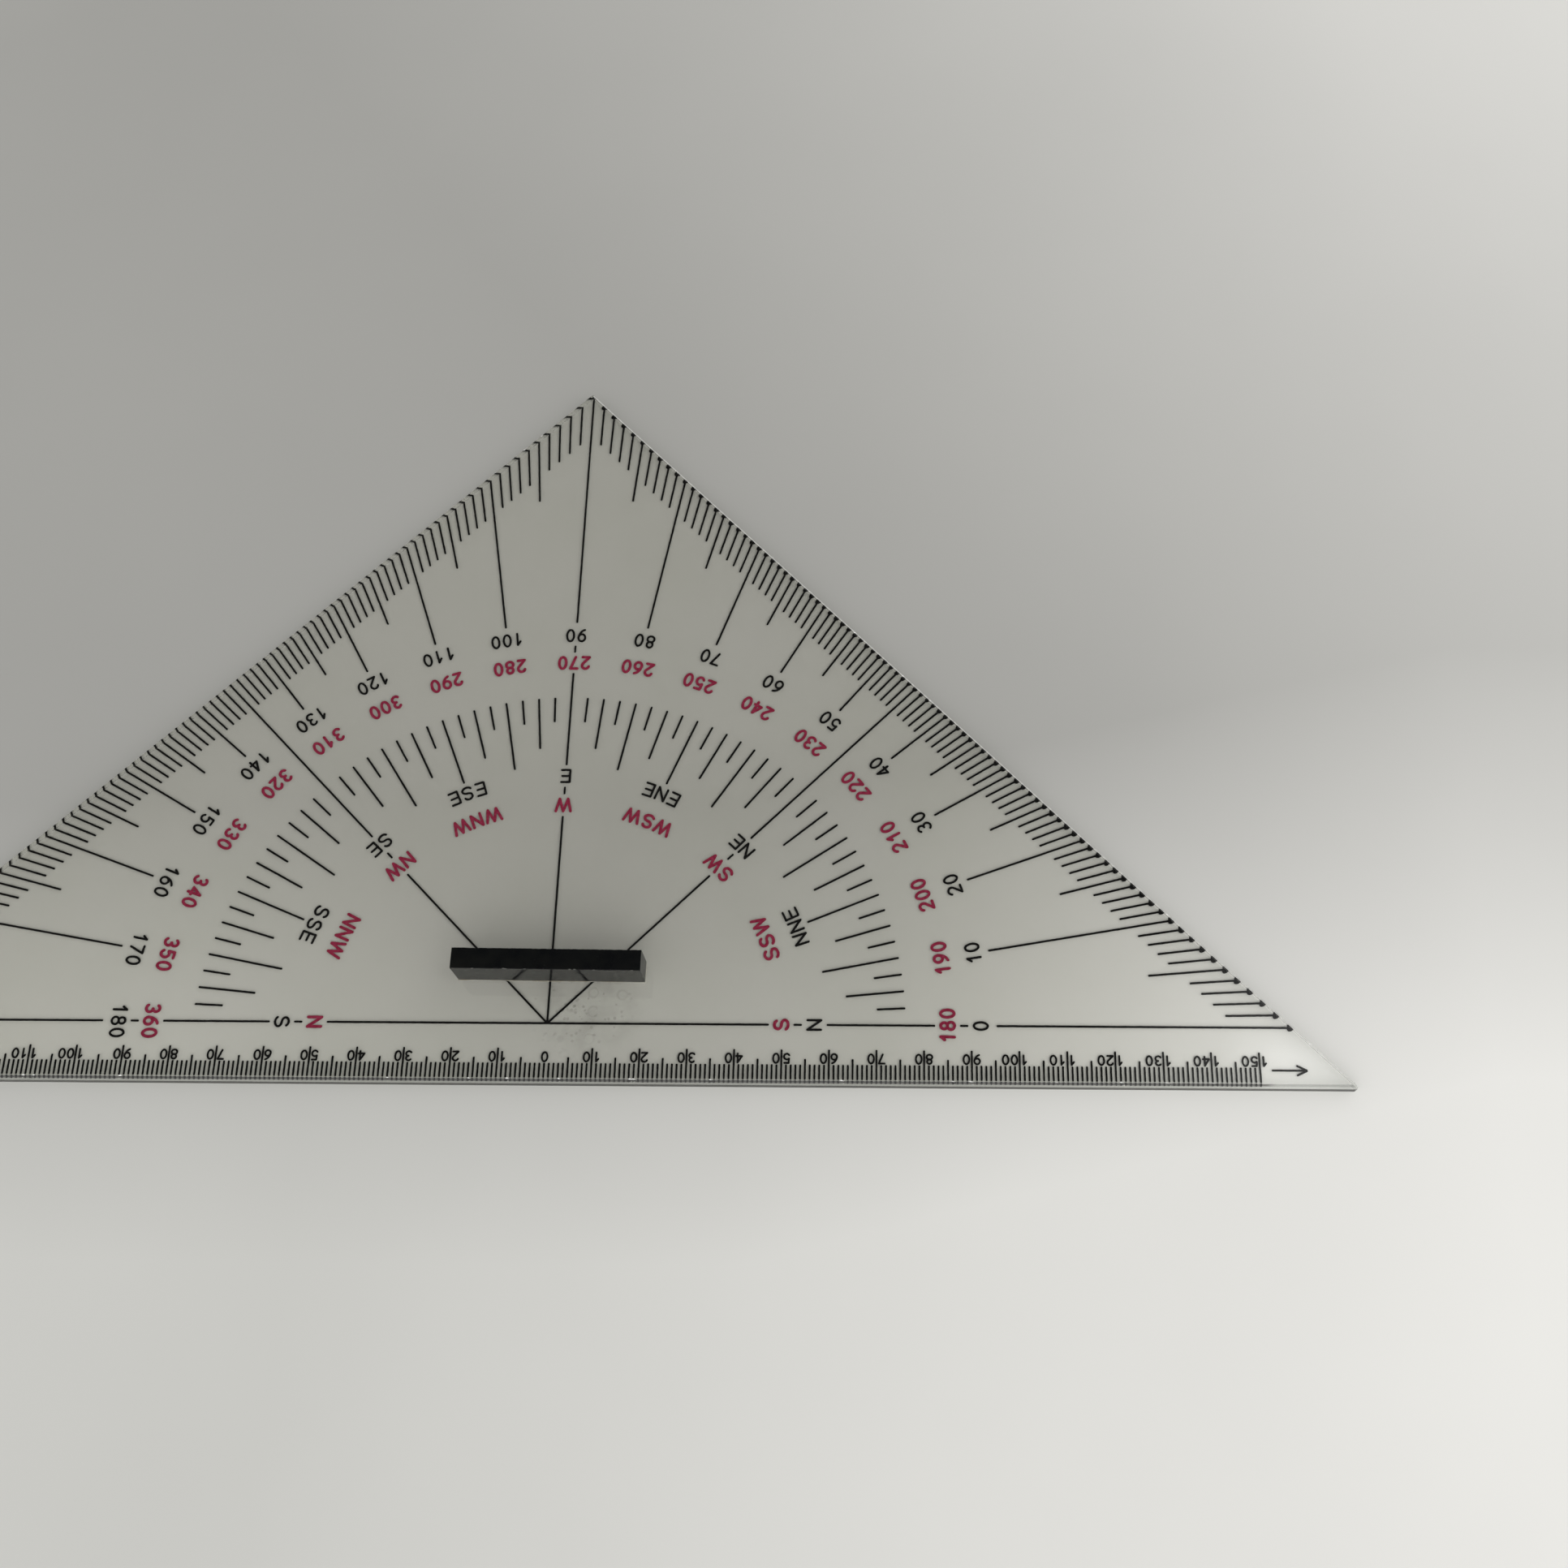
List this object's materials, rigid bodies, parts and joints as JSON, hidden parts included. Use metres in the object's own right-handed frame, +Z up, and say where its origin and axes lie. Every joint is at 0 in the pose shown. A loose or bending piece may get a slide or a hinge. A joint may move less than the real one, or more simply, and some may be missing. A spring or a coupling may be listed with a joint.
{
  "type": "navigation triangle",
  "caption": "Clear right-angled isosceles chart triangle with a bevelled millimetre ruling edge, degree scales on both legs, a compass ring and a black grip bar.",
  "frame": {"origin": "the degree centre, where the bearing lines meet, on the underside that lies on the chart", "axes": "+X along the ruling edge, +Y from the ruling edge to the right-angled corner, +Z up out of the face with the bar"},
  "size_m": [0.3404, 0.1702, 0.0119],
  "materials": {
    "clear_acrylic": "polished clear sheet with cut edges",
    "black_acrylic": "polished long faces, saw-cut ends",
    "clear_cement": "dried solvent cement",
    "black_print": "printed ink",
    "red_print": "printed ink"
  },
  "bodies": {
    "root": {"plate": "clear_acrylic", "grip_bar": "black_acrylic", "bar_cement": "clear_cement", "ruler_millimetre_ticks": "black_print", "ruler_five_millimetre_ticks": "black_print", "ruler_ten_millimetre_ticks": "black_print", "ruler_arrows": "black_print", "degree_ticks": "black_print", "five_degree_ticks": "black_print", "ten_degree_lines": "black_print", "compass_short_ticks": "black_print", "compass_medium_ticks": "black_print", "compass_long_ticks": "black_print", "bearing_lines": "black_print"}
  },
  "joints": []
}
